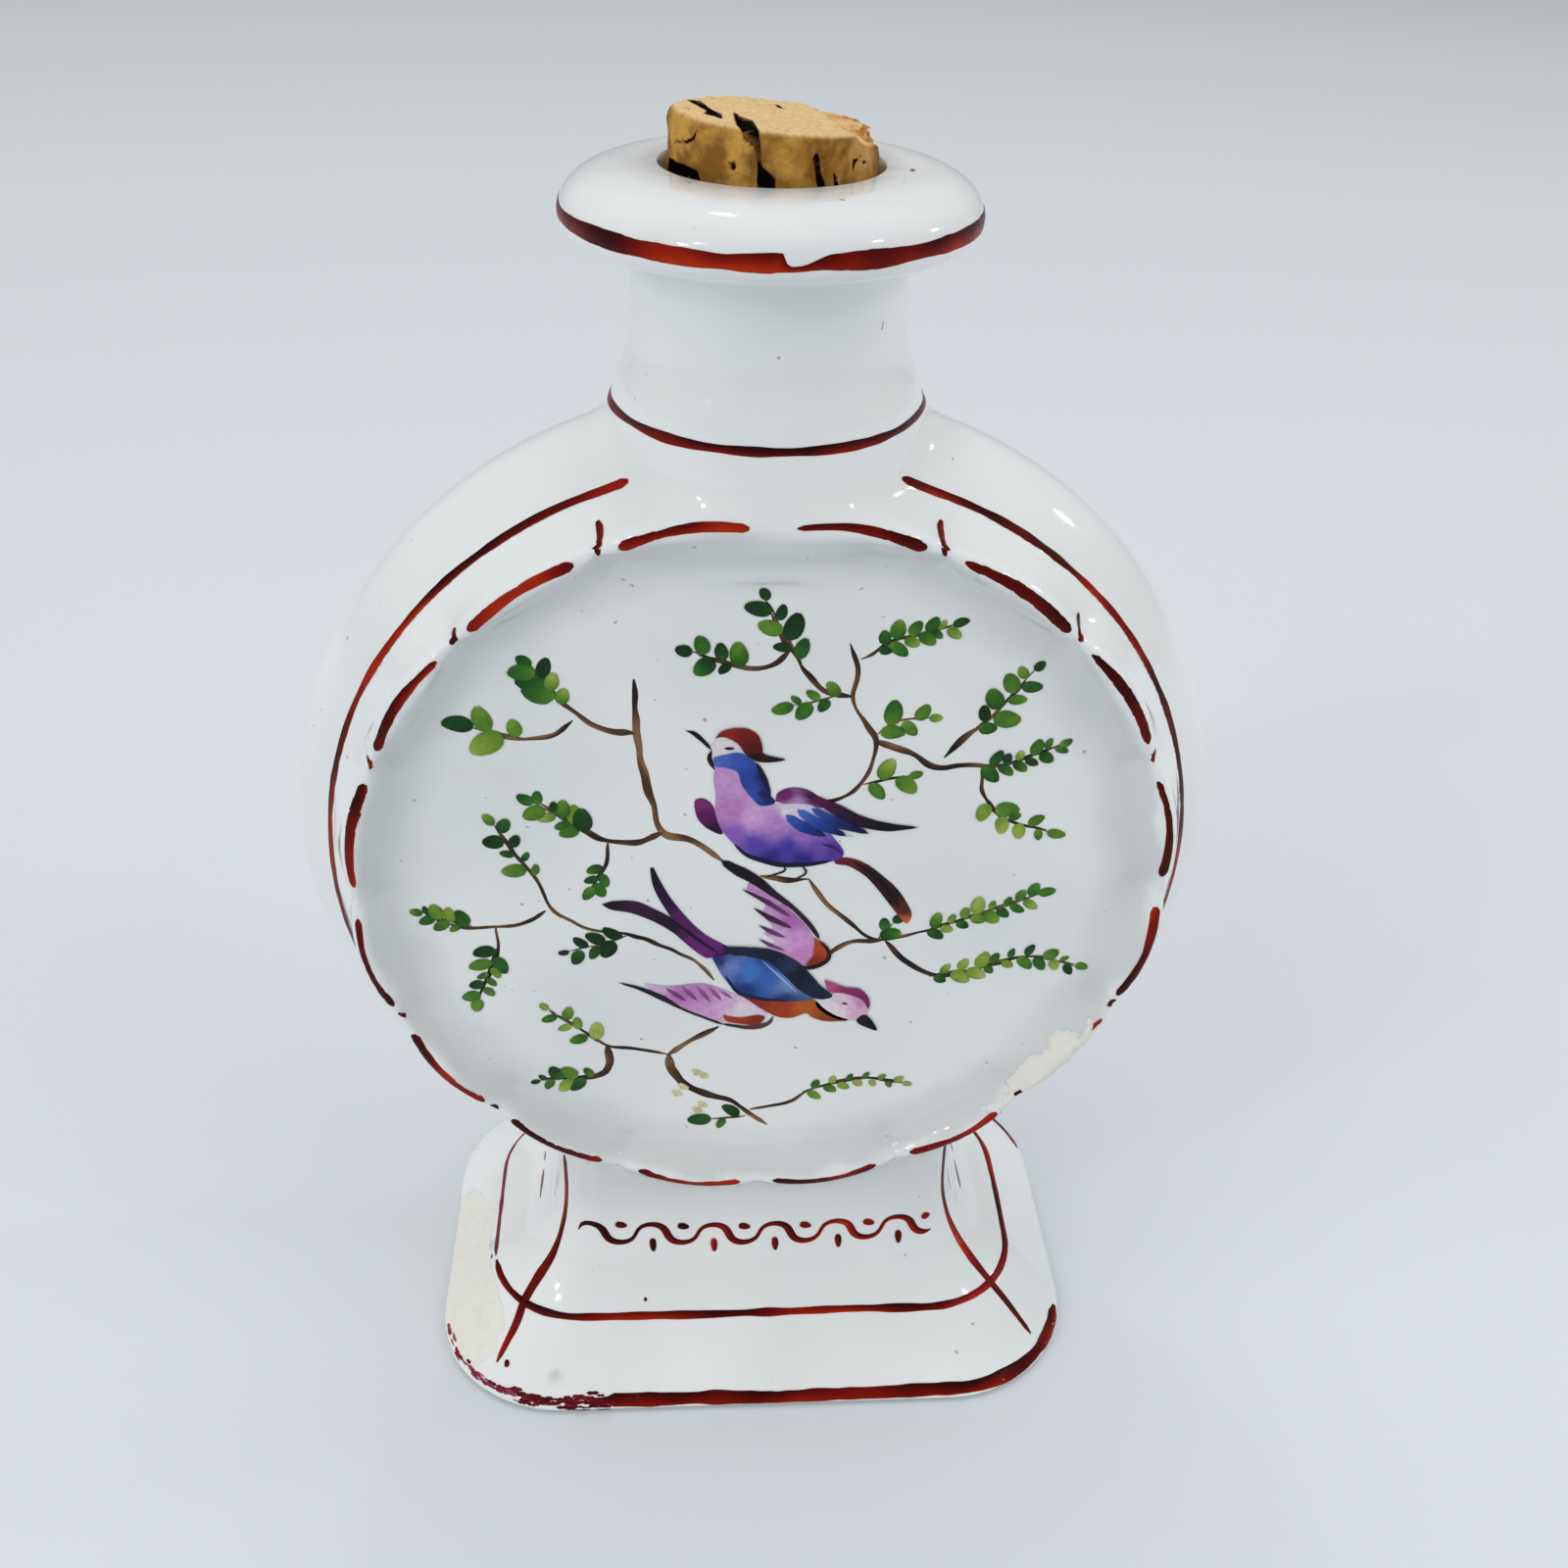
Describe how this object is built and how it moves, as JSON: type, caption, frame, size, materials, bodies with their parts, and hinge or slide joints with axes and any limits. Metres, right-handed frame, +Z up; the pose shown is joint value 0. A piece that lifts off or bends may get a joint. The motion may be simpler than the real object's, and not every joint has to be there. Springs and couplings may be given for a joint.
{
  "type": "porcelain moon flask",
  "caption": "Hollow porcelain moon flask on a flared foot, with a lobed ring round each face, a cushion lip and a broken cork, painted with birds and leafy branches.",
  "frame": {"origin": "middle of the foot's footprint, on the surface the flask stands on", "axes": "+Z up along the neck, +X to the right across the painted face, -Y out of the painted face"},
  "size_m": [0.0964, 0.0516, 0.1381],
  "materials": {
    "porcelain": "glossy",
    "cork": "matte"
  },
  "bodies": {
    "root": {"flask": "porcelain", "cork": "cork"}
  },
  "joints": []
}
